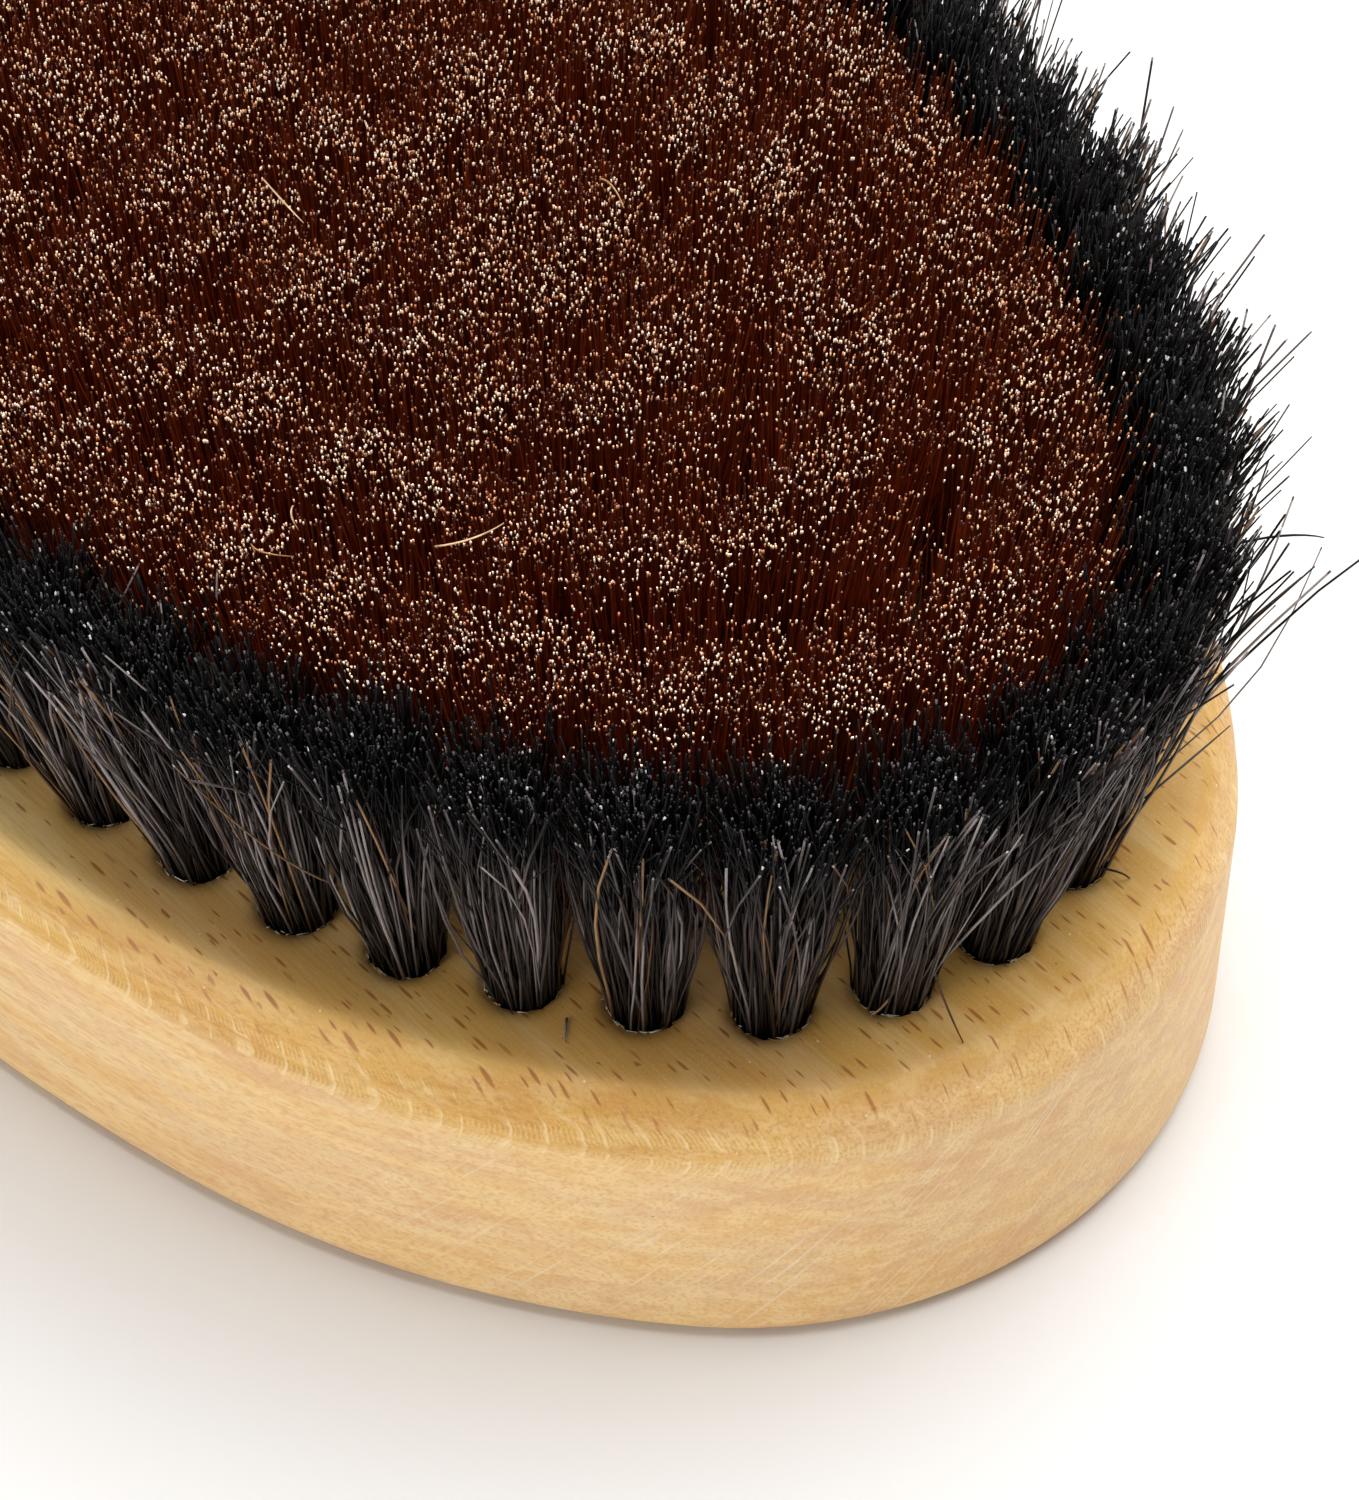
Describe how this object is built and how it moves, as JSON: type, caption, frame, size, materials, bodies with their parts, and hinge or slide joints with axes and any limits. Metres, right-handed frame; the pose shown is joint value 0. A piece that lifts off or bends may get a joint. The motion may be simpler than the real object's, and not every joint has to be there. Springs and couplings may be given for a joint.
{
  "type": "oval hand brush",
  "caption": "Palm-held oval wooden brush lying on its back, with a border of dark animal-hair tufts around a dense field of bronze-wire tufts.",
  "frame": {"origin": "centre of the flat back that the brush lies on", "axes": "+X along the oval's long axis, +Z out of the bristles"},
  "size_m": [0.13, 0.0736, 0.0374],
  "materials": {
    "beech": "waxed, satin",
    "horsehair": "coarse natural hair with a soft gloss",
    "bronze_wire": "fine crimped wire, bright cut tips",
    "anchor_strip": "plain rolled strip"
  },
  "bodies": {
    "root": {"anchors_border": "anchor_strip", "anchors_centre_row": "anchor_strip", "anchors_inner_ring": "anchor_strip", "anchors_middle_ring": "anchor_strip", "anchors_outer_ring": "anchor_strip", "beech_block": "beech", "bronze_tufts_centre_row": "bronze_wire", "bronze_tufts_inner_ring": "bronze_wire", "bronze_tufts_middle_ring": "bronze_wire", "bronze_tufts_outer_ring": "bronze_wire", "horsehair_tuft_01": "horsehair", "horsehair_tuft_02": "horsehair", "horsehair_tuft_03": "horsehair", "horsehair_tuft_04": "horsehair", "horsehair_tuft_05": "horsehair", "horsehair_tuft_06": "horsehair", "horsehair_tuft_07": "horsehair", "horsehair_tuft_08": "horsehair", "horsehair_tuft_09": "horsehair", "horsehair_tuft_10": "horsehair", "horsehair_tuft_11": "horsehair", "horsehair_tuft_12": "horsehair", "horsehair_tuft_13": "horsehair", "horsehair_tuft_14": "horsehair", "horsehair_tuft_15": "horsehair", "horsehair_tuft_16": "horsehair", "horsehair_tuft_17": "horsehair", "horsehair_tuft_18": "horsehair", "horsehair_tuft_19": "horsehair", "horsehair_tuft_20": "horsehair", "horsehair_tuft_21": "horsehair", "horsehair_tuft_22": "horsehair", "horsehair_tuft_23": "horsehair", "horsehair_tuft_24": "horsehair", "horsehair_tuft_25": "horsehair", "horsehair_tuft_26": "horsehair", "horsehair_tuft_27": "horsehair", "horsehair_tuft_28": "horsehair", "horsehair_tuft_29": "horsehair", "horsehair_tuft_30": "horsehair", "horsehair_tuft_31": "horsehair", "horsehair_tuft_32": "horsehair", "horsehair_tuft_33": "horsehair", "horsehair_tuft_34": "horsehair", "horsehair_tuft_35": "horsehair", "horsehair_tuft_36": "horsehair", "horsehair_tuft_37": "horsehair", "horsehair_tuft_38": "horsehair", "horsehair_tuft_39": "horsehair", "horsehair_tuft_40": "horsehair", "horsehair_tuft_41": "horsehair", "horsehair_tuft_42": "horsehair", "horsehair_tuft_43": "horsehair", "horsehair_tuft_44": "horsehair", "horsehair_tuft_45": "horsehair", "horsehair_tuft_46": "horsehair"}
  },
  "joints": []
}
